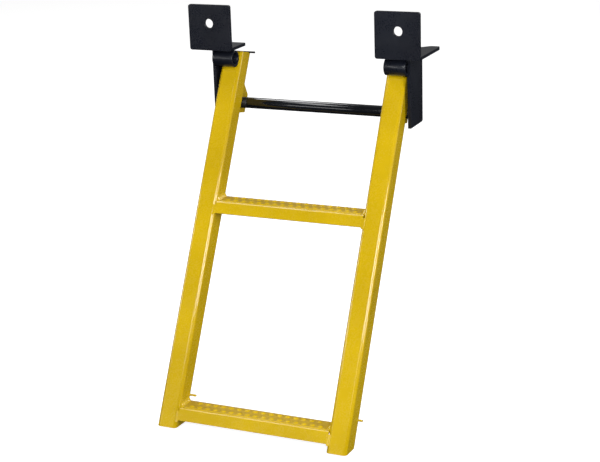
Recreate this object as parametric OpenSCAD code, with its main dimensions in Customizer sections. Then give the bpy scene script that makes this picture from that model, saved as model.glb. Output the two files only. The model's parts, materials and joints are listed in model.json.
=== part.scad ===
// Retractable two-rung tailgate step. A yellow ladder hangs on a crossbar between two black brackets.
// It swings up level about the crossbar and then slides in under the floor, running on two rollers.
// Frame: X to the right, Y towards the vehicle, Z up. The origin is midway between the two bolt holes,
// on the back faces of the bolt plates.

/* [Brackets] */
// Overall width over the two bolt plates
bracket_span = 372.5; // [370:0.5:400]
// Width and height of one bolt plate
plate_size = 69.85; // [66:0.05:76]
// Thickness of the bracket plate
plate_t = 4.8; // [4:0.1:6]
// Distance between the two bolt holes
hole_spacing = 304.8; // [296:0.1:310]
// Height of the bolt holes above the bottom of the plates
hole_height = 41.3; // [34:0.1:48]
// Diameter of the bolt holes
hole_d = 14.3; // [10:0.1:18]
// Depth of the top flange outside the rails
flange_depth = 92; // [84:1:110]
// Depth of the narrow part of the top flange, in front of the rails
flange_inner_depth = 50.6; // [44:0.1:50.6]
// Size of the cut across the inner back corner of the top flange
flange_cut = 18; // [0:1:20]
// Radius on the corners of the bracket plates
plate_corner_r = 3.5; // [1:0.5:6]

/* [Side plates] */
// Height of a side plate below the flange
side_h = 108; // [102:1:130]
// Distance from the bolt plate's front to the front edge of the side plate
side_front = 26.5; // [20:0.5:30]
// Distance from the bolt plate's front to the back edge of the side plate
side_back = 80; // [70:0.5:84]
// Gap between a rail and its side plate
side_gap = 5; // [3:0.1:6]

/* [Crossbar] */
// Diameter of the fixed rod through the rollers
rod_d = 12.7; // [10:0.1:13]
// Outer diameter of the rollers and the centre tube
roller_d = 17; // [16:0.1:18]
// Wall clearance between the rod and what turns on it
running_gap = 0.1; // [0.05:0.01:0.1]
// Distance down the rails from the flange to the crossbar
crossbar_s = 80; // [78:0.5:84]
// How far a roller shows beyond the inner side of its rail
roller_show = 6; // [3:0.5:10]

/* [Stop tubes] */
// Outer diameter of a stop tube
stop_d = 25.4; // [22:0.1:26]
// Wall of a stop tube
stop_wall = 3.2; // [2:0.1:5]
// Distance down the rails from the flange to the middle of a stop tube
stop_s = 25.8; // [25.8:0.1:30]
// Inset of the stop tube's inner end from the inner side of the rail
stop_inset = 3; // [0:0.5:8]

/* [Ladder] */
// Overall width of the ladder
ladder_w = 304.8; // [300:0.1:308]
// Outside size of the square tube
tube = 31.75; // [30:0.05:32]
// Wall of the square tube
tube_wall = 2.6; // [2:0.1:4]
// Outside corner radius of the square tube
tube_r = 5; // [2:0.1:5]
// Lean of the hanging ladder from upright
lean = 28.5; // [27:0.1:30]
// Distance from the bolt plate's front to the front of the rails, at flange height
ladder_y = 51.7; // [51.7:0.1:54]
// Distance down the rails from the flange to the back of their top ends
rail_top = 0.8; // [0.8:0.1:4]
// Slant of the rails' top ends, lower at the front
top_angle = 16; // [0:1:18]
// Distance down the rails from the flange to their feet
rail_foot = 597; // [590:1:640]
// Angle of the cut at the feet
foot_angle = 25; // [0:1:30]

/* [Rungs] */
// Distance down the rails to the lower edge of the upper rung
upper_rung_s = 267; // [250:1:280]
// Distance between the two rungs
rung_pitch = 317.5; // [300:0.5:318]
// Height of a rung's front and back, along the rails
rung_h = 18.5; // [14:0.5:24]
// Thickness of the rungs' sheet
rung_t = 2.5; // [2:0.1:3]
// Outside radius of the rungs' bends
rung_r = 3.5; // [3.2:0.1:5]

/* [Treads] */
// Depth of a grip strip, front to back
tread_w = 26; // [24:0.5:26]
// Thickness of a grip strip without its studs
tread_t = 0.8; // [0.5:0.1:2]
// Diameter of a grip stud
stud_d = 8; // [5:0.5:9]
// Height of a grip stud
stud_h = 1.5; // [0.8:0.1:2]
// Distance between the studs of one row
stud_pitch = 13; // [11:0.5:16]
// Distance between the two rows of studs
row_gap = 14; // [11:0.5:15]

/* [Hooks and pins] */
// Thickness of a hook plate
hook_t = 6; // [4:0.5:8]
// How far a hook reaches behind its rail
hook_reach = 40; // [36:0.5:44]
// How far the hook's root runs up the rail above the crossbar
hook_root = 48.5; // [44:0.5:54]
// How far the hook's back corner stands above the crossbar
hook_tip = 21.5; // [16:0.5:26]
// How far the hook's prong reaches below the crossbar
hook_prong = 15; // [12:0.5:18]
// Diameter of a stow pin across the back of a rail
stow_pin_d = 3.3; // [3:0.1:5]
// Distance down the rails from the flange to the stow pins
stow_pin_s = 543; // [530:1:546]
// How far a stow pin stands out on the inner side of its rail
stow_pin_in = 7.5; // [3:0.5:12]
// How far a stow pin stands out on the outer side of its rail
stow_pin_out = 4.4; // [1:0.1:4.6]
// Diameter of a keeper pin across the top end of a rail
top_pin_d = 3; // [2.5:0.1:4]
// How far a keeper pin stands out on the inner side of its rail
top_pin_in = 10; // [4:0.5:14]

/* [Welds] */
// Leg of a fillet weld
weld = 4; // [3:0.1:5]
// Height of the weld above a rung's end
rung_weld_h = 7; // [4:0.5:8]
// Length of that weld along the rung
rung_weld_w = 5; // [3:0.5:6]

/* [Hidden] */
$fn = 48;
// gap between pieces that slide or turn past each other
clear = 0.3;
// a cut runs this far past the face that it leaves
past = 1;
rail_out = ladder_w / 2;
rail_in = rail_out - tube;
rail_mid = rail_out - tube / 2;
plate_out = bracket_span / 2;
plate_in = plate_out - plate_size;
side_in = rail_out + side_gap;
roller_r = roller_d / 2;
// the crossbar's depth behind the rails' front faces
crossbar_depth = tube + clear + roller_r;
roller_in = rail_in - roller_show;
// width of the weld ring between the rod and a side plate
rod_ring = 1;
// middle of the stop tubes, from the bracket's corner
stop_y = ladder_y - stop_s * sin(lean) - (stop_d / 2 + clear) * cos(lean);
stop_z = -stop_s * cos(lean) + (stop_d / 2 + clear) * sin(lean);
// width of the weld that fills the gap between a stop tube and the flange
stop_weld = 15;
stop_in = rail_in + stop_inset;
// place of the keeper pins, down the rails and behind their front faces, half sunk in the slanted ends
top_pin_depth = 24;
top_pin_s = rail_top + (tube - top_pin_depth) * tan(top_angle);
// how far a keeper pin passes the outer side of its rail
top_pin_out = 0.5;
lower_rung_s = upper_rung_s + rung_pitch;
// the rungs' tops are level, so they are deeper than the leaning rails
rung_depth = tube / cos(lean);
// lengths of the two bends, along the rung's faces
front_bend = rung_r * (1 - sin(lean)) / cos(lean);
back_bend = rung_r * (1 + sin(lean)) / cos(lean);
// directions down the rails, and square to their front faces
down = [-sin(lean), -cos(lean)];
behind = [cos(lean), -sin(lean)];
// flat steps round a bend
bend_steps = 6;
tread_mid = (front_bend + rung_depth - back_bend) / 2;
// half the length of a grip strip, clear of the welds
tread_half = rail_in - rung_weld_w - 1.5;
// where the deep outer part of the flange begins
flange_step = rail_out + 1.5;
hook_root_z = hook_root - crossbar_s;
hook_tip_z = hook_tip - crossbar_s;
prong_z = -hook_prong - crossbar_s;
// height of the sloped end of the hook's prong
prong_slope = 7;
// what the hook's welds leave free at both ends
hook_weld_end = 3;

left = -1;
right = 1;

// ---------------------------------------------------------------- placing

// From the bracket's own corner, at the front and bottom of the bolt plates, to the frame
module on_bracket() translate([0, -plate_t, -hole_height]) children();

// From the ladder's own frame, Z up along the rails and Y behind their front faces
module on_ladder() on_bracket() translate([0, ladder_y, 0]) rotate([-lean, 0, 0]) children();

// A rung's frame, level, with its origin on the sharp corner between the rung's front and top
module on_rung(s) on_ladder() translate([0, 0, rung_h - s]) rotate([lean, 0, 0]) children();

// Pieces are drawn for the right side, and mirrored for the left
module on_side(side) {
    if (side == left) mirror([1, 0, 0]) children();
    else children();
}

// A cylinder along X, from x0 to x1
module x_rod(d, x0, x1) translate([x0, 0, 0]) rotate([0, 90, 0]) cylinder(d = d, h = x1 - x0);

// A tube along X, from x0 to x1
module x_tube(d, bore, x0, x1) {
    difference() {
        x_rod(d, x0, x1);
        x_rod(bore, x0 - past, x1 + past);
    }
}

// ---------------------------------------------------------------- outlines

// A square with its corners rounded by arcs
module round_square(size, r) {
    square([size - 2 * r, size], center = true);
    square([size, size - 2 * r], center = true);
    for (x = [-1, 1], y = [-1, 1])
        translate([x * (size / 2 - r), y * (size / 2 - r)]) circle(r);
}

// A rectangle from the origin with its two far corners rounded
module round_end(w, h, r) {
    square([w, h - r]);
    translate([r, 0]) square([w - 2 * r, h]);
    translate([r, h - r]) circle(r);
    translate([w - r, h - r]) circle(r);
}

// A fillet weld's section, its square corner at the origin
module fillet_section(w = weld, h = weld) polygon([[0, 0], [w, 0], [0, h]]);

// The corner that a circle of radius r leaves free in a square of side r
module groove_section(r) {
    difference() {
        square(r);
        translate([r, r]) circle(r);
    }
}

// Points round a bend, from angle a0 to angle a1
function bend_points(centre, r, a0, a1) =
    [for (i = [0 : bend_steps]) let (a = a0 + (a1 - a0) * i / bend_steps) centre + r * [cos(a), sin(a)]];

// A rung's section: front, level top and back in one bent sheet, open below
module rung_section() {
    front = rung_h * down;
    back = [rung_depth, 0] + front;
    centre_f = [front_bend, -rung_r];
    centre_b = [rung_depth - back_bend, -rung_r];
    inner_r = rung_r - rung_t;
    polygon(concat(
        [front], bend_points(centre_f, rung_r, 180 - lean, 90), bend_points(centre_b, rung_r, 90, -lean),
        [back, back - rung_t * behind], bend_points(centre_b, inner_r, -lean, 90),
        bend_points(centre_f, inner_r, 90, 180 - lean), [front + rung_t * behind]
    ));
}

// ---------------------------------------------------------------- brackets

// The bolt plate and its flange, one piece of angle
module angle_plate(side) {
    on_bracket() on_side(side) translate([plate_in, 0, 0]) {
        translate([0, plate_t, 0]) rotate([90, 0, 0]) linear_extrude(plate_t) difference() {
            translate([plate_size / 2, plate_size / 2]) round_square(plate_size, plate_corner_r);
            translate([hole_spacing / 2 - plate_in, hole_height]) circle(d = hole_d);
        }
        linear_extrude(plate_t) {
            translate([0, plate_t]) square([plate_size, flange_inner_depth - plate_t]);
            translate([flange_step - plate_in, plate_t]) difference() {
                round_end(plate_out - flange_step, flange_depth - plate_t, plate_corner_r);
                translate([0, flange_depth - plate_t]) rotate(45)
                    square(flange_cut * sqrt(2), center = true);
            }
        }
    }
}

// The plate that hangs below the flange, outside the rail
module side_plate(side) {
    on_bracket() on_side(side) translate([side_in, side_front, 0]) rotate([0, 90, 0])
        linear_extrude(plate_t) round_end(side_h, side_back - side_front, plate_corner_r);
}

// The rails' front faces rest on this tube when the ladder hangs
module stop_tube(side) {
    on_ladder() on_side(side) translate([0, -stop_d / 2 - clear, -stop_s])
        x_tube(stop_d, stop_d - 2 * stop_wall, stop_in, side_in);
}

// The fixed rod between the side plates
module cross_rod() {
    on_ladder() translate([0, crossbar_depth, -crossbar_s]) x_rod(rod_d, -side_in, side_in);
}

// Fillets between the side plate and the flange, and the ring where the rod meets the side plate
module bracket_welds(side) {
    on_bracket() on_side(side) {
        translate([side_in + plate_t, side_front + weld, 0]) rotate([-90, 0, 0])
            linear_extrude(side_back - side_front - 2 * weld) fillet_section();
        translate([stop_in + weld, 0, 0]) rotate([90, 0, 90])
            linear_extrude(side_in - stop_in - 2 * weld) difference() {
                translate([stop_y - stop_weld / 2, -stop_weld / 2]) square([stop_weld, stop_weld / 2]);
                translate([stop_y, stop_z]) circle(d = stop_d);
            }
    }
    on_ladder() on_side(side) translate([0, crossbar_depth, -crossbar_s])
        x_tube(roller_d, rod_d, side_in - rod_ring, side_in);
}

// ---------------------------------------------------------------- crossbar

// The tube between the rollers
module centre_tube() {
    on_ladder() translate([0, crossbar_depth, -crossbar_s])
        x_tube(roller_d, rod_d + 2 * running_gap, clear - roller_in, roller_in - clear);
}

// The roller that one rail runs on
module roller(side) {
    on_ladder() on_side(side) translate([0, crossbar_depth, -crossbar_s])
        x_tube(roller_d, rod_d + 2 * running_gap, roller_in, side_in - rod_ring - clear);
}

// ---------------------------------------------------------------- ladder

// A length of square tube along Z, from z0 to z1
module square_tube(z0, z1) {
    translate([0, 0, z0]) linear_extrude(z1 - z0) difference() {
        round_square(tube, tube_r);
        round_square(tube - 2 * tube_wall, tube_r - tube_wall);
    }
}

// A side rail, cut on a slant at the top and at the foot
module rail(side) {
    on_ladder() on_side(side) difference() {
        translate([rail_mid, tube / 2, 0]) square_tube(-rail_foot, -rail_top);
        translate([rail_in - past, 0, -rail_foot]) rotate([foot_angle, 0, 0])
            translate([0, -tube, -2 * tube]) cube([tube + 2 * past, 3 * tube, 2 * tube]);
        translate([rail_in - past, tube, -rail_top]) rotate([top_angle, 0, 0])
            translate([0, -2 * tube, 0]) cube([tube + 2 * past, 3 * tube, tube]);
        translate([0, top_pin_depth, -top_pin_s]) x_rod(top_pin_d, rail_in - past, rail_out + past);
    }
}

// A rung between the rails, flush with their fronts and backs
module rung(s) {
    on_rung(s) translate([-rail_in, 0, 0]) rotate([90, 0, 90]) linear_extrude(2 * rail_in) rung_section();
}

// A grip strip on a rung, with two staggered rows of studs
module tread(s) {
    count = floor((2 * tread_half - stud_d) / stud_pitch);
    on_rung(s) translate([0, tread_mid, 0]) {
        translate([-tread_half, -tread_w / 2, 0]) cube([2 * tread_half, tread_w, tread_t]);
        for (row = [0, 1], i = [0 : count - row])
            translate([(i - (count - row) / 2) * stud_pitch, (row - 0.5) * row_gap, tread_t])
                cylinder(d = stud_d, h = stud_h, $fn = 24);
    }
}

// The hook plate that hangs the rail on its roller; its mouth opens down the rail
module hook(side) {
    mouth_r = roller_r + clear;
    back = tube + hook_reach;
    on_ladder() on_side(side) translate([rail_mid - hook_t / 2, 0, 0]) rotate([90, 0, 90])
        linear_extrude(hook_t) difference() {
            polygon([
                [tube, hook_root_z], [back, hook_tip_z], [back, prong_z + prong_slope],
                [crossbar_depth + mouth_r, prong_z], [tube, prong_z]
            ]);
            translate([crossbar_depth, -crossbar_s]) circle(mouth_r);
            translate([tube - past, prong_z - past])
                square([crossbar_depth + mouth_r - tube + past, hook_prong + past]);
        }
}

// The thin keeper pin in the top end of a rail
module top_pin(side) {
    on_ladder() on_side(side) translate([0, top_pin_depth, -top_pin_s])
        x_rod(top_pin_d, rail_in - top_pin_in, rail_out + top_pin_out);
}

// The pin across the back of a rail that stops the ladder when it is stowed
module stow_pin(side) {
    on_ladder() on_side(side) translate([0, tube + stow_pin_d / 2, -stow_pin_s])
        x_rod(stow_pin_d, rail_in - stow_pin_in, rail_out + stow_pin_out);
}

// Fillets on top of both ends of a rung, and the seams that fill the rails' round corners beside it
module rung_welds(s) {
    start = tube_r / cos(lean) + rung_weld_h * tan(lean);
    end = rung_depth - tube_r / cos(lean);
    for (side = [left, right]) {
        on_rung(s) on_side(side) translate([rail_in, end, 0]) mirror([1, 0, 0]) rotate([90, 0, 0])
            linear_extrude(end - start) fillet_section(rung_weld_w, rung_weld_h);
        on_ladder() on_side(side) translate([rail_in, 0, -s]) linear_extrude(rung_h - front_bend)
            groove_section(tube_r);
        on_ladder() on_side(side) translate([rail_in, tube, tube * tan(lean) - s]) mirror([0, 1, 0])
            linear_extrude(rung_h - back_bend) groove_section(tube_r);
    }
}

// Fillets on both sides of the hooks' roots, above the rollers
module hook_welds() {
    bottom = roller_r + clear + hook_weld_end;
    run = hook_root - hook_weld_end - bottom;
    on_ladder() for (side = [left, right]) on_side(side) for (face = [-1, 1])
        translate([rail_mid + face * hook_t / 2, tube, bottom - crossbar_s])
            linear_extrude(run) mirror([face < 0 ? 1 : 0, 0]) fillet_section();
}

// ---------------------------------------------------------------- parts

color("#22242b") angle_plate(left);  // left_angle
color("#22242b") angle_plate(right);  // right_angle
color("#22242b") side_plate(left);  // left_side_plate
color("#22242b") side_plate(right);  // right_side_plate
color("#22242b") stop_tube(left);  // left_stop_tube
color("#22242b") stop_tube(right);  // right_stop_tube
color("#22242b") cross_rod();
color("#22242b") bracket_welds(left);  // left_bracket_welds
color("#22242b") bracket_welds(right);  // right_bracket_welds
color("#1c1d21") centre_tube();
color("#101114") roller(left);  // left_roller
color("#101114") roller(right);  // right_roller
color("#dcb912") rail(left);  // left_rail
color("#dcb912") rail(right);  // right_rail
color("#dcb912") rung(upper_rung_s);  // upper_rung
color("#dcb912") rung(lower_rung_s);  // lower_rung
color("#c8a61c") tread(upper_rung_s);  // upper_tread
color("#c8a61c") tread(lower_rung_s);  // lower_tread
color("#dcb912") hook(left);  // left_hook
color("#dcb912") hook(right);  // right_hook
color("#1c1d21") top_pin(left);  // left_top_pin
color("#1c1d21") top_pin(right);  // right_top_pin
color("#dcb912") stow_pin(left);  // left_stow_pin
color("#dcb912") stow_pin(right);  // right_stow_pin
color("#d0ad10") rung_welds(upper_rung_s);  // upper_rung_welds
color("#d0ad10") rung_welds(lower_rung_s);  // lower_rung_welds
color("#d0ad10") hook_welds();
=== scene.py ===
"""Looks for a retractable two-rung tailgate step.

A yellow ladder of square tube hangs on a black crossbar between two black brackets. The shapes of the plates,
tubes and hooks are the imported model's. This script gives them their materials, and builds the studded grip
strips and the weld beads, which replace their plain stand-ins.
"""

import json
import math
import random

import bmesh
import bpy
from mathutils import Matrix, Vector


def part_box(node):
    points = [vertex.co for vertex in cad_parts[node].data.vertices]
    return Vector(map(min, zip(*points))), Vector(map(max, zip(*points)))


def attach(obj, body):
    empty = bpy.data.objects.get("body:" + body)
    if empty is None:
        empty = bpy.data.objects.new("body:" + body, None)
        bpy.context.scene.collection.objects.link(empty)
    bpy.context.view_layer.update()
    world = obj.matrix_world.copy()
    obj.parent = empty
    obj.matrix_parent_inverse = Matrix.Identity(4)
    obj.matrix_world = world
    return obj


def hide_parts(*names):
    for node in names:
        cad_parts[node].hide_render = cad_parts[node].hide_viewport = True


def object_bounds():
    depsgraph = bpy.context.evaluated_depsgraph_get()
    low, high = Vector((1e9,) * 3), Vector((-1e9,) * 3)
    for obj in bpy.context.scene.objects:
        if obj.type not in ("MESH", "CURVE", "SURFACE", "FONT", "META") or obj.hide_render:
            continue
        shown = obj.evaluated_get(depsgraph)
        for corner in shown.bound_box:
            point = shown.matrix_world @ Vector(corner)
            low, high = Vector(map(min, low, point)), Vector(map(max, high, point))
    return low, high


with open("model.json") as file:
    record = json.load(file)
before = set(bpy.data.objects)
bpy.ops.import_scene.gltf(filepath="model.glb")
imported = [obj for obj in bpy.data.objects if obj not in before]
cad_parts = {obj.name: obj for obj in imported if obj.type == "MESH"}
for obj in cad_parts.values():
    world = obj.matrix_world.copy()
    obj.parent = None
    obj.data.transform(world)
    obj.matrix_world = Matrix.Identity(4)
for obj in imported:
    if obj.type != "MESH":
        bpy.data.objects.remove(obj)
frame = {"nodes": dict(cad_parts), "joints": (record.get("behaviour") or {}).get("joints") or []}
cad_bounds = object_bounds()

X = Vector((1, 0, 0))
Y = Vector((0, 1, 0))
Z = Vector((0, 0, 1))
slide = next(j for j in frame["joints"] if j["name"] == "ladder_slide")
UP = Vector(slide["axis"]).normalized()  # up the rails
BEHIND = UP.cross(X)  # square to the rails' fronts, towards the vehicle
LEAN = math.atan2(UP.y, UP.z)  # angle between the rails and the upright
SIDES = {"left": -1, "right": 1}


def reach(node, axis):
    """Lowest and highest place of a node's own vertices along an axis."""
    places = [v.co.dot(axis) for v in frame["nodes"][node].data.vertices]
    return min(places), max(places)


def place(x, up, behind):
    """A point from its places along X, up the rails and behind their fronts, all from the frame's origin."""
    return X * x + UP * up + BEHIND * behind


# ---------------------------------------------------------------- camera, light and floor

CAMERA_AT = (0.875485, -1.991788, 0.367021)
CAMERA_YAW, CAMERA_PITCH, CAMERA_ROLL = (math.radians(a) for a in (-24.06, 17.45, -1.88))
CAMERA_LENS = 88.455


def make_camera():
    """The photograph's view: a long lens from the front right, a little above."""
    data = bpy.data.cameras.new("camera")
    data.lens, data.sensor_width = CAMERA_LENS, 36
    data.clip_start, data.clip_end = 0.05, 50
    cam = bpy.data.objects.new("camera", data)
    bpy.context.collection.objects.link(cam)
    flat = math.cos(CAMERA_PITCH)
    forward = Vector((math.sin(CAMERA_YAW) * flat, math.cos(CAMERA_YAW) * flat, -math.sin(CAMERA_PITCH)))
    level = Vector((math.cos(CAMERA_YAW), -math.sin(CAMERA_YAW), 0))
    upright = level.cross(forward)
    right = level * math.cos(CAMERA_ROLL) + upright * math.sin(CAMERA_ROLL)
    up = -level * math.sin(CAMERA_ROLL) + upright * math.cos(CAMERA_ROLL)
    turn = Matrix((right, up, -forward)).transposed()
    cam.matrix_world = Matrix.Translation(CAMERA_AT) @ turn.to_4x4()
    bpy.context.scene.camera = cam


def area_light(name, at, target, size, power, upright):
    """A rectangular light facing a target, its second side along upright."""
    data = bpy.data.lights.new(name, "AREA")
    data.shape, data.size, data.size_y = "RECTANGLE", size[0], size[1]
    data.energy = power
    lamp = bpy.data.objects.new(name, data)
    back = (Vector(at) - Vector(target)).normalized()
    side = upright.cross(back).normalized()
    turn = Matrix((side, back.cross(side), back)).transposed()
    lamp.matrix_world = Matrix.Translation(at) @ turn.to_4x4()
    bpy.context.collection.objects.link(lamp)


BACKDROP = 0.22  # light from the white backdrop behind the object
ROOM = 0.03  # light from the dark room in front of it
BELOW = 0.15  # share of both that is left below the horizon
TURN_Y = (-0.25, 0.55)  # the part of a direction's Y over which the room turns into the backdrop
TURN_Z = (-0.22, 0.02)  # the part of its Z over which the share grows from BELOW to 1

# Each light's name, place, target, size in metres, power in watts, and the direction of its second side
LIGHTS = (
    ("key", (1.0, -2.4, 0.9), (0.1, 0, -0.4), (1.3, 1.3), 50, Z),
    ("right_strip", (2.0, -0.66, 0.14), (0.1, 0, -0.35), (0.3, 1.2), 24, UP),
    ("left_strip", (-1.9, -1.0, 0.1), (-0.1, 0, -0.35), (0.25, 1.2), 12, UP),
    ("top", (-1.1, -0.65, 2.2), (0, 0, -0.4), (1.2, 0.7), 15, Z),
    ("back_left", (-1.6, 1.6, 2.2), (0, 0, -0.3), (1.4, 1.4), 36, Z),
    ("back_right", (1.9, 2.2, 0.9), (0, 0, -0.3), (1.2, 1.2), 14, Z),
    ("front", (-2.34, -5.2, 0.85), (0, 0, -0.13), (3.0, 1.3), 52, Z),
)
FLOOR_HALF = 6.0  # half the floor's side
FLOOR_DROP = 0.0005  # gap between the floor and the feet
FLOOR_GREY, FLOOR_GLOW = 0.55, 0.86  # its own colour, and the white light it gives off


def make_world():
    """A bright backdrop behind the object, a darker room in front of it, and plain white for the camera."""
    world = bpy.data.worlds.new("studio")
    bpy.context.scene.world = world
    world.use_nodes = True
    nodes, links = world.node_tree.nodes, world.node_tree.links
    way = nodes.new("ShaderNodeSeparateXYZ")
    links.new(nodes.new("ShaderNodeTexCoord").outputs["Generated"], way.inputs["Vector"])
    steps = []
    for axis, limits in (("Y", (*TURN_Y, ROOM, BACKDROP)), ("Z", (*TURN_Z, BELOW, 1.0))):
        node = nodes.new("ShaderNodeMapRange")
        node.interpolation_type = "SMOOTHSTEP"
        for name, number in zip(("From Min", "From Max", "To Min", "To Max"), limits):
            node.inputs[name].default_value = number
        links.new(way.outputs[axis], node.inputs["Value"])
        steps.append(node.outputs["Result"])
    both = nodes.new("ShaderNodeMath")
    both.operation = "MULTIPLY"
    links.new(steps[0], both.inputs[0])
    links.new(steps[1], both.inputs[1])
    studio, seen = nodes["Background"], nodes.new("ShaderNodeBackground")
    studio.inputs["Color"].default_value = (1, 1, 1, 1)
    links.new(both.outputs["Value"], studio.inputs["Strength"])
    pick = nodes.new("ShaderNodeMixShader")
    links.new(nodes.new("ShaderNodeLightPath").outputs["Is Camera Ray"], pick.inputs["Fac"])
    links.new(studio.outputs["Background"], pick.inputs[1])
    seen.inputs["Color"].default_value = (1, 1, 1, 1)
    links.new(seen.outputs["Background"], pick.inputs[2])
    links.new(pick.outputs["Shader"], nodes["World Output"].inputs["Surface"])


def make_studio():
    """Soft lights all round, brightest in front, over a white floor."""
    make_world()
    bpy.context.scene.view_settings.view_transform = "Standard"
    for light in LIGHTS:
        area_light(*light)
    make_floor()


def make_floor():
    """A white floor just under the feet, which neither lights the object nor shows in its gloss."""
    level = cad_bounds[0][2] - FLOOR_DROP
    corners = [(x * FLOOR_HALF, y * FLOOR_HALF, level) for x, y in ((-1, -1), (1, -1), (1, 1), (-1, 1))]
    mesh = bpy.data.meshes.new("floor")
    mesh.from_pydata(corners, [], [(0, 1, 2, 3)])
    floor = bpy.data.objects.new("floor", mesh)
    bpy.context.collection.objects.link(floor)
    mat = bpy.data.materials.new("floor")
    mat.use_nodes = True
    shader = mat.node_tree.nodes["Principled BSDF"]
    shader.inputs["Base Color"].default_value = (FLOOR_GREY, FLOOR_GREY, FLOOR_GREY, 1)
    shader.inputs["Roughness"].default_value = 0.9
    shader.inputs["Specular IOR Level"].default_value = 0.0
    shader.inputs["Emission Color"].default_value = (1, 1, 1, 1)
    shader.inputs["Emission Strength"].default_value = FLOOR_GLOW
    mesh.materials.append(mat)
    floor.visible_glossy = floor.visible_diffuse = False


# ---------------------------------------------------------------- materials

class Graph:
    """Short ways to make the nodes of one material."""

    def __init__(self, name):
        self.mat = bpy.data.materials.new(name)
        self.mat.use_nodes = True
        self.nodes = self.mat.node_tree.nodes
        self.links = self.mat.node_tree.links
        self.shader = self.nodes["Principled BSDF"]
        self.coords = self.nodes.new("ShaderNodeTexCoord").outputs["Object"]

    def put(self, value, socket):
        """Feeds a socket with another node's output or with a plain value."""
        if isinstance(value, bpy.types.NodeSocket):
            self.links.new(value, socket)
        else:
            socket.default_value = value

    def noise(self, scale, detail=2.0, rough=0.5, stretch=None):
        """Noise in the object's own coordinates, which stretch scales per axis."""
        node = self.nodes.new("ShaderNodeTexNoise")
        node.inputs["Scale"].default_value = scale
        node.inputs["Detail"].default_value = detail
        node.inputs["Roughness"].default_value = rough
        source = self.coords
        if stretch:
            warp = self.nodes.new("ShaderNodeMapping")
            warp.inputs["Scale"].default_value = stretch
            self.links.new(source, warp.inputs["Vector"])
            source = warp.outputs["Vector"]
        self.links.new(source, node.inputs["Vector"])
        return node.outputs["Fac"]

    def span(self, value, low, high, to_low, to_high):
        """A value's range from low to high, mapped to another and cut off at its ends."""
        node = self.nodes.new("ShaderNodeMapRange")
        for name, number in (("From Min", low), ("From Max", high), ("To Min", to_low), ("To Max", to_high)):
            node.inputs[name].default_value = number
        self.links.new(value, node.inputs["Value"])
        return node.outputs["Result"]

    def combine(self, a, b, how="MULTIPLY"):
        node = self.nodes.new("ShaderNodeMath")
        node.operation = how
        self.put(a, node.inputs[0])
        self.put(b, node.inputs[1])
        return node.outputs["Value"]

    def mix(self, share, a, b):
        """Colour a, turning into colour b as the share goes from 0 to 1."""
        node = self.nodes.new("ShaderNodeMix")
        node.data_type = "RGBA"
        self.put(share, node.inputs["Factor"])
        self.put(a, node.inputs[6])
        self.put(b, node.inputs[7])
        return node.outputs[2]

    def edges(self, radius):
        """1 on an outer edge and 0 on a flat face."""
        soft = self.nodes.new("ShaderNodeBevel")
        soft.samples = 4
        soft.inputs["Radius"].default_value = radius
        hard = self.nodes.new("ShaderNodeNewGeometry")
        dot = self.nodes.new("ShaderNodeVectorMath")
        dot.operation = "DOT_PRODUCT"
        self.links.new(soft.outputs["Normal"], dot.inputs[0])
        self.links.new(hard.outputs["Normal"], dot.inputs[1])
        return self.span(dot.outputs["Value"], 0.99, 0.86, 0.0, 1.0)

    def bump(self, layers):
        """Bump layers, each a height, a depth in metres and a strength."""
        normal = None
        for height, depth, strength in layers:
            node = self.nodes.new("ShaderNodeBump")
            node.inputs["Strength"].default_value = strength
            node.inputs["Distance"].default_value = depth
            self.links.new(height, node.inputs["Height"])
            if normal:
                self.links.new(normal, node.inputs["Normal"])
            normal = node.outputs["Normal"]
        self.links.new(normal, self.shader.inputs["Normal"])

    def attribute(self, name):
        """A number kept on each of the mesh's vertices."""
        node = self.nodes.new("ShaderNodeAttribute")
        node.attribute_name = name
        return node.outputs["Fac"]


def powder_coat(name, dark, light, worn, rough, peel=0.00006, coat=0.3, specular=0.5):
    """Gloss powder coat: slow colour drift, orange peel, uneven gloss, and edges where it is thin."""
    g = Graph(name)
    drift = g.span(g.noise(11, 3), 0.3, 0.7, 0.0, 1.0)
    colour = g.mix(drift, dark, light)
    thin = g.combine(g.edges(0.0012), g.span(g.noise(240, 3, 0.6), 0.45, 0.7, 0.0, 0.8))
    g.put(g.mix(thin, colour, worn), g.shader.inputs["Base Color"])
    smear = g.combine(g.noise(38, 4, 0.6), g.noise(420, 2), "ADD")
    g.put(g.span(smear, 0.7, 1.3, rough[0], rough[1]), g.shader.inputs["Roughness"])
    g.shader.inputs["Coat Weight"].default_value = coat
    g.shader.inputs["Coat Roughness"].default_value = 0.12
    g.shader.inputs["Coat IOR"].default_value = 1.6
    g.shader.inputs["Specular IOR Level"].default_value = specular
    g.bump([(g.noise(650, 2, 0.45), peel, 0.3), (g.noise(120, 2), peel * 3, 0.25)])
    return g


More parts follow.
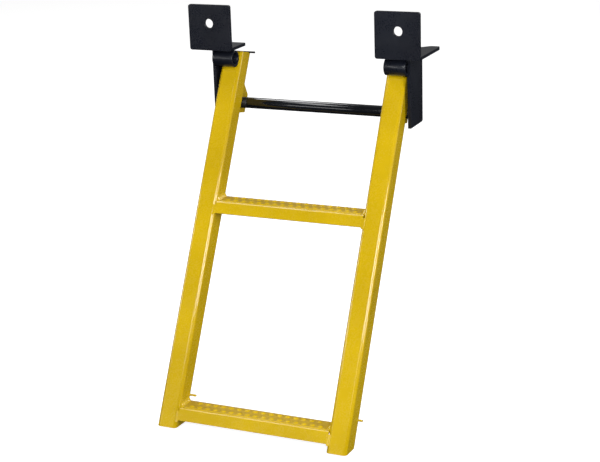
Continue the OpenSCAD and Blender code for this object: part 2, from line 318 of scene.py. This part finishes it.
def make_materials():
    """The object's six materials by their short names."""
    yellow = powder_coat("yellow_powder_coat", (0.60, 0.395, 0.003, 1), (0.70, 0.468, 0.004, 1),
                         (0.42, 0.27, 0.01, 1), (0.20, 0.34), coat=0.9, specular=0.3)
    black = powder_coat("black_powder_coat", (0.005, 0.006, 0.011, 1), (0.009, 0.011, 0.018, 1),
                        (0.030, 0.032, 0.040, 1), (0.24, 0.38), coat=0.0, specular=0.38)
    tube = powder_coat("gloss_black_tube", (0.004, 0.005, 0.007, 1), (0.008, 0.009, 0.012, 1),
                       (0.025, 0.025, 0.028, 1), (0.10, 0.18), coat=0.25, specular=0.4)
    tread = powder_coat("tread_coat", (0.63, 0.415, 0.003, 1), (0.71, 0.478, 0.005, 1),
                        (0.42, 0.27, 0.01, 1), (0.30, 0.46), coat=0.0, specular=0.22)
    # Painted shade: the tread's low places between the studs turn towards dark brown (0.30, 0.17, 0.035),
    # broken up by noise.
    valley = tread.span(tread.attribute("valley"), 0.35, 1.0, 0.0, 0.42)
    painted_valley_shade = tread.combine(valley, tread.span(tread.noise(300, 4, 0.6), 0.3, 0.65, 0.55, 1.0))
    clean = tread.shader.inputs["Base Color"].links[0].from_socket
    tread.put(tread.mix(painted_valley_shade, clean, (0.30, 0.17, 0.035, 1)), tread.shader.inputs["Base Color"])

    roller = Graph("black_roller")
    turned = roller.noise(900, 2, 0.5, (1, 0.05, 0.05))
    roller.put(roller.mix(roller.span(roller.noise(90, 3), 0.35, 0.65, 0.0, 1.0), (0.003, 0.003, 0.004, 1),
                          (0.007, 0.008, 0.009, 1)), roller.shader.inputs["Base Color"])
    roller.put(roller.span(turned, 0.3, 0.7, 0.42, 0.62), roller.shader.inputs["Roughness"])
    roller.bump([(turned, 0.00005, 0.5), (roller.noise(1400, 2), 0.00003, 0.3)])

    pin = Graph("dark_pin")
    grain = pin.noise(700, 3, 0.6, (0.15, 1, 1))
    pin.put(pin.mix(pin.span(pin.noise(160, 3), 0.35, 0.65, 0.0, 1.0), (0.010, 0.010, 0.012, 1),
                    (0.040, 0.040, 0.044, 1)), pin.shader.inputs["Base Color"])
    pin.shader.inputs["Metallic"].default_value = 0.6
    pin.put(pin.span(grain, 0.3, 0.7, 0.30, 0.50), pin.shader.inputs["Roughness"])
    pin.bump([(grain, 0.00003, 0.5)])
    return {"yellow": yellow.mat, "black": black.mat, "tube": tube.mat, "tread": tread.mat,
            "roller": roller.mat, "pin": pin.mat}


# ---------------------------------------------------------------- pieces

def add_piece(name, bm, body, material, nodes):
    """Makes a smooth piece of a bmesh, riding on a body in place of some CAD nodes."""
    bmesh.ops.recalc_face_normals(bm, faces=bm.faces)
    mesh = bpy.data.meshes.new(name)
    bm.to_mesh(mesh)
    bm.free()
    for face in mesh.polygons:
        face.use_smooth = True
    obj = bpy.data.objects.new(name, mesh)
    bpy.context.collection.objects.link(obj)
    mesh.materials.append(material)
    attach(obj, body)
    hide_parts(*nodes)


def close_rings(bm, rings, caps=True):
    """Skins a row of closed rings, and caps both ends."""
    count = len(rings[0])
    for one, two in zip(rings, rings[1:]):
        for j in range(count):
            k = (j + 1) % count
            bm.faces.new((one[j], one[k], two[k], two[j]))
    if caps:
        bm.faces.new(list(reversed(rings[0])))
        bm.faces.new(rings[-1])


BEAD_STEP = 0.00045  # spacing of the rings along a bead
BEAD_ARC = 10  # steps across a bead's crown


def ripple(u, pitch):
    """Height of a weld's overlapping ripples at distance u, from 0 to 1, steep on one side."""
    t = (u / pitch) % 1.0
    return (t / 0.75) if t < 0.75 else (1 - t) / 0.25


def round_off(u, length, run):
    """Size of a bead at distance u along it, 1 but for its rounded ends, which are run long."""
    end = min(u, length - u) / run
    return math.sqrt(max(0.0, 1 - (1 - min(1.0, end)) ** 2)) if end < 1 else 1.0


def add_bead(bm, root, along, length, a, b, leg_a, leg_b, seed, pitch=0.0021, sunk=0.0003):
    """A rippled fillet from root along a line, between the faces that run in directions a and b."""
    rand = random.Random(seed)
    phase, steps = rand.random() * pitch, max(8, round(length / BEAD_STEP))
    sway = [rand.uniform(0.94, 1.05) for _ in range(int(length / pitch) + 3)]
    rings = []
    for i in range(steps + 1):
        u = length * i / steps
        taper = round_off(u, length, min(0.0025, length / 3))
        ring = []
        for j in range(BEAD_ARC + 1):
            t = j / BEAD_ARC
            lag = 0.9 * pitch * math.sin(math.pi * t)
            crest = ripple(u + phase - lag + 3 * pitch, pitch)
            scale = (0.90 + 0.13 * crest) * sway[int((u + phase) / pitch)] * max(taper, 0.03)
            bulge = 0.30 * math.sin(math.pi * t) * (0.35 + 0.65 * t * (1 - t) * 4)
            pa = leg_a * ((1 - t) + bulge * 0.5) * scale
            pb = leg_b * (t + bulge * 0.5) * scale
            ring.append(bm.verts.new(root + along * u + a * (pa - sunk) + b * (pb - sunk)))
        ring.append(bm.verts.new(root + along * u - a * sunk * 2 - b * sunk * 2))
        rings.append(ring)
    close_rings(bm, rings)


def add_seam(bm, start, along, length, across, out, width, proud, seed, pitch=0.0019):
    """A flat rippled bead on a face, its middle line from start, proud of it and sunk into the groove."""
    rand = random.Random(seed)
    phase, steps = rand.random() * pitch, max(8, round(length / BEAD_STEP))
    rings = []
    for i in range(steps + 1):
        u = length * i / steps
        taper = round_off(u, length, 0.002)
        wander = 0.0002 * math.sin(u / 0.0035 + seed)
        ring = []
        for j in range(BEAD_ARC + 1):
            t = j / BEAD_ARC * 2 - 1
            lag = 0.8 * pitch * (1 - t * t)
            rise = proud * (1 - t * t) * (0.65 + 0.45 * ripple(u + phase - lag + 3 * pitch, pitch))
            ring.append(bm.verts.new(start + along * u + across * (t * width / 2 * max(taper, 0.05) + wander)
                                     + out * (rise * taper - 0.0001)))
        ring.append(bm.verts.new(start + along * u + across * wander - out * 0.003 * max(taper, 0.05)))
        rings.append(ring)
    close_rings(bm, rings)


DROP_RINGS, DROP_SIDES, DROP_LIFT = 4, 8, 28  # a drop's rings, their sides, and the degrees between them


def add_spatter(bm, centre, a, b, out, reach_a, reach_b, count, seed):
    """Small drops of weld spatter stuck on a face."""
    rand = random.Random(seed)
    for _ in range(count):
        r = rand.uniform(0.00035, 0.0008)
        at = centre + a * rand.uniform(-reach_a, reach_a) + b * rand.uniform(-reach_b, reach_b)
        rows = []
        for i in range(DROP_RINGS):
            lift = math.radians(DROP_LIFT * i)
            rows.append([bm.verts.new(at + (a * math.cos(t) + b * math.sin(t)) * r * math.cos(lift)
                                      + out * (r * math.sin(lift) - r * 0.15))
                         for t in (math.tau * j / DROP_SIDES for j in range(DROP_SIDES))])
        close_rings(bm, rows)


STRIP_T = 0.0008  # thickness of a grip strip between its studs
STUD_D, STUD_H = 0.008, 0.0015  # a stud's diameter and its height over the strip
STUD_PITCH = 0.013  # distance between the studs of one row
ROW_GAP = 0.014  # distance between the two rows
EDGE = 0.0012  # width of the strip's rounded edge
CELL = 0.0007  # spacing of the strip's mesh
STRIP_SUNK = 0.0003  # how far the strip's foot is sunk into the rung


def stud_height(x, y, studs):
    """Height over the strip of the domed stud at a place, or 0 between the studs."""
    for sx, sy in studs:
        r = math.hypot(x - sx, y - sy) / (STUD_D / 2)
        if r < 1:
            return STUD_H * (1 - r ** 2.6) ** 0.75
    return 0.0


def make_tread(which, material):
    """A thin strip with two staggered rows of domed studs, its low places marked for the painted shade
    between the studs.
    """
    node = which + "_tread"
    lo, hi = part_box(node)
    half, width, mid_y = (hi.x - lo.x) / 2, hi.y - lo.y, (lo.y + hi.y) / 2
    count = math.floor((2 * half - STUD_D) / STUD_PITCH)
    studs = [((i - (count - row) / 2) * STUD_PITCH, (row - 0.5) * ROW_GAP)
             for row in (0, 1) for i in range(count - row + 1)]
    columns, rows = round(2 * half / CELL), round(width / CELL)
    bm = bmesh.new()
    layer = bm.verts.layers.float.new("valley")
    grid = []
    for i in range(columns + 1):
        x = -half + 2 * half * i / columns
        near = [s for s in studs if abs(s[0] - x) < STUD_D]
        line = []
        for j in range(rows + 1):
            y = -width / 2 + width * j / rows
            edge = min(half - abs(x), width / 2 - abs(y))
            rim = min(1.0, edge / EDGE)
            base = STRIP_T * math.sqrt(max(0.0, 1 - (1 - rim) ** 2))
            rise = stud_height(x, y, near)
            v = bm.verts.new((x, mid_y + y, lo.z + base + rise))
            # the valley mask: how low a place lies between the studs, which drives the painted shade there
            v[layer] = rim * max(0.0, 1 - rise / (0.55 * STUD_H))
            line.append(v)
        grid.append(line)
    for one, two in zip(grid, grid[1:]):
        for j in range(rows):
            bm.faces.new((one[j], one[j + 1], two[j + 1], two[j]))
    border = ([line[0] for line in grid] + grid[-1][1:] + [line[-1] for line in reversed(grid[:-1])]
              + list(reversed(grid[0][1:-1])))
    foot = [bm.verts.new((v.co.x, v.co.y, lo.z - STRIP_SUNK)) for v in border]
    for j in range(len(border)):
        k = (j + 1) % len(border)
        bm.faces.new((border[j], border[k], foot[k], foot[j]))
    bm.faces.new(foot)
    add_piece(which + "_grip_tread", bm, "ladder", material, [node])


# The legs of each fillet, along its a and b directions
RUNG_LEGS, HOOK_LEGS = (0.005, 0.007), (0.004, 0.004)
PLATE_LEGS, TUBE_LEGS = (0.0045, 0.0045), (0.0095, 0.0075)
RUNG_ENDS = (0.0055, 0.0035)  # gaps between a rung's fillet and the rung's front and back edges
PLATE_END, TUBE_END = 0.003, 0.002  # gaps between the brackets' fillets and the ends of plate and tube
SEAM_IN, SPATTER_IN = 0.0012, 0.002  # how far out from the rails' inner faces their middles lie
SEAM_W = 0.0052  # width of a seam
SEAM_PAST, SEAM_SHORT = 0.0015, 0.002  # how far a front seam passes the rung's foot and ends below its top
FRONT_PROUD, BACK_PROUD = 0.0003, 0.0002  # height of the seams over the ladder's front and back
BACK_DROP, BACK_LONG = 0.0175, 0.0125  # foot of the back seams below the rung's back edge, and their length
SPATTER_REACH, SPATTER_DROPS = (0.007, 0.010), 7  # half the patch's width and height, and its drops


def make_ladder_welds(material):
    """The fillets over both ends of each rung, the seams beside them, and the hooks' fillets."""
    rail_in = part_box("right_rail")[0].x
    front, back = reach("right_rail", BEHIND)
    for which in ("upper", "lower"):
        node = which + "_rung_welds"
        rung_hi = reach(which + "_rung", UP)[1]
        top_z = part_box(which + "_rung")[1].z
        # places up the rails of the front and back edges of the rung's level top
        corner_up = rung_hi - (back - front) * math.tan(LEAN)
        back_up = corner_up + (back - front) * math.tan(LEAN)
        low_front = reach(which + "_rung", Z)[0]
        bottom_up = (low_front - BEHIND.z * front) / UP.z
        seam_top = corner_up - SEAM_SHORT
        corner_y = place(0, corner_up, front).y
        y0, y1 = corner_y + RUNG_ENDS[0], corner_y + (back - front) / math.cos(LEAN) - RUNG_ENDS[1]
        bm = bmesh.new()
        for side in (-1, 1):
            add_bead(bm, X * side * rail_in + Y * y0 + Z * top_z, Y, y1 - y0, -X * side, Z,
                     *RUNG_LEGS, 11 + side)
            add_seam(bm, place(side * (rail_in + SEAM_IN), bottom_up - SEAM_PAST, front), UP,
                     seam_top - bottom_up + SEAM_PAST, X * side, -BEHIND, SEAM_W, FRONT_PROUD, 21 + side)
            add_seam(bm, place(side * (rail_in + SEAM_IN), back_up - BACK_DROP, back), UP,
                     BACK_LONG, X * side, BEHIND, SEAM_W, BACK_PROUD, 31 + side)
            add_spatter(bm, place(side * (rail_in + SPATTER_IN), (corner_up + bottom_up) / 2, front),
                        X, UP, -BEHIND, *SPATTER_REACH, SPATTER_DROPS, 41 + side)
        add_piece(which + "_rung_weld_beads", bm, "ladder", material, [node])

    bm = bmesh.new()
    lo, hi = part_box("right_hook")
    hook_x, half_t = (lo.x + hi.x) / 2, (hi.x - lo.x) / 2
    low, high = reach("hook_welds", UP)
    for side in (-1, 1):
        for face in (-1, 1):
            add_bead(bm, place(side * hook_x + face * half_t, low, back), UP, high - low, X * face, BEHIND,
                     *HOOK_LEGS, 51 + side + 3 * face)
    add_piece("hook_weld_beads", bm, "ladder", material, ["hook_welds"])


RING_STEPS, RING_RIPPLES = 96, 24
# The weld ring's section: distances out from the rod's face and in from the side plate's
RING_SECTION = ((-0.0003, 0.001), (0.0008, 0.0009), (0.0017, 0.0005), (0.0021, -0.0002), (-0.0003, -0.0002))


def make_bracket_welds(material):
    """Each bracket's fillets along its side plate and its stop tube, and the ring round the rod's end."""
    rod_lo, rod_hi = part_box("cross_rod")
    rod_mid = Y * (rod_lo.y + rod_hi.y) / 2 + Z * (rod_lo.z + rod_hi.z) / 2
    rod_r = (rod_hi.z - rod_lo.z) / 2
    for name, side in SIDES.items():
        bm = bmesh.new()
        plate_lo, plate_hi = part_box(name + "_side_plate")
        tube_lo, tube_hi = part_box(name + "_stop_tube")
        top = plate_hi.z
        inner, outer = sorted((abs(plate_lo.x), abs(plate_hi.x)))
        add_bead(bm, X * side * outer + Y * (plate_lo.y + PLATE_END) + Z * top, Y,
                 plate_hi.y - plate_lo.y - 2 * PLATE_END, X * side, -Z, *PLATE_LEGS, 61 + side)
        start, stop = sorted((abs(tube_lo.x), abs(tube_hi.x)))
        mid_y = (tube_lo.y + tube_hi.y) / 2
        for way, seed in ((-1, 71), (1, 81)):
            add_bead(bm, X * side * (start + TUBE_END) + Y * mid_y + Z * top, X * side,
                     stop - start - 2 * TUBE_END, Y * way, -Z, *TUBE_LEGS, seed + side)
        end = rod_mid + X * side * inner
        rings = []
        for i in range(RING_STEPS):
            t = math.tau * i / RING_STEPS
            out = Y * math.cos(t) + Z * math.sin(t)
            size = 0.85 + 0.15 * ripple(i / RING_STEPS, 1 / RING_RIPPLES)
            rings.append([bm.verts.new(end + out * (rod_r + r * size) - X * side * h)
                          for r, h in RING_SECTION])
        close_rings(bm, rings + rings[:1], caps=False)
        add_piece(name + "_bracket_weld_beads", bm, "bracket", material,
                  [name + "_bracket_welds"])


# Which material each kind of CAD node wears, and the width of its softened edges
FINISH = {
    "angle": ("black", 0.0007), "side_plate": ("black", 0.0007), "stop_tube": ("black", 0.0004),
    "cross_rod": ("tube", 0.0003), "centre_tube": ("tube", 0.0003), "roller": ("roller", 0.0005),
    "rail": ("yellow", 0.0004), "rung": ("yellow", 0.0004), "hook": ("yellow", 0.0006),
    "top_pin": ("pin", 0.0003), "stow_pin": ("yellow", 0.0003),
}
MERGE = 0.000005  # vertices nearer than this are one
SHARP = math.radians(40)  # edges that turn more than this are softened


def dress_nodes(materials):
    """Gives every CAD node that stays its material, and softens its sharp edges."""
    for node, obj in frame["nodes"].items():
        first, _, rest = node.partition("_")
        kind = rest if first in ("left", "right", "upper", "lower") else node
        if kind not in FINISH:
            continue
        finish, width = FINISH[kind]
        for i in range(max(1, len(obj.material_slots))):
            obj.material_slots[i].material = materials[finish]
        weld = obj.modifiers.new("join", "WELD")
        weld.merge_threshold = MERGE
        soft = obj.modifiers.new("edges", "BEVEL")
        soft.width, soft.segments = width, 2
        soft.limit_method, soft.angle_limit = "ANGLE", SHARP
        soft.harden_normals = True


make_camera()
make_studio()
paints = make_materials()
dress_nodes(paints)
for rung in ("upper", "lower"):
    make_tread(rung, paints["tread"])
make_ladder_welds(paints["yellow"])
make_bracket_welds(paints["black"])
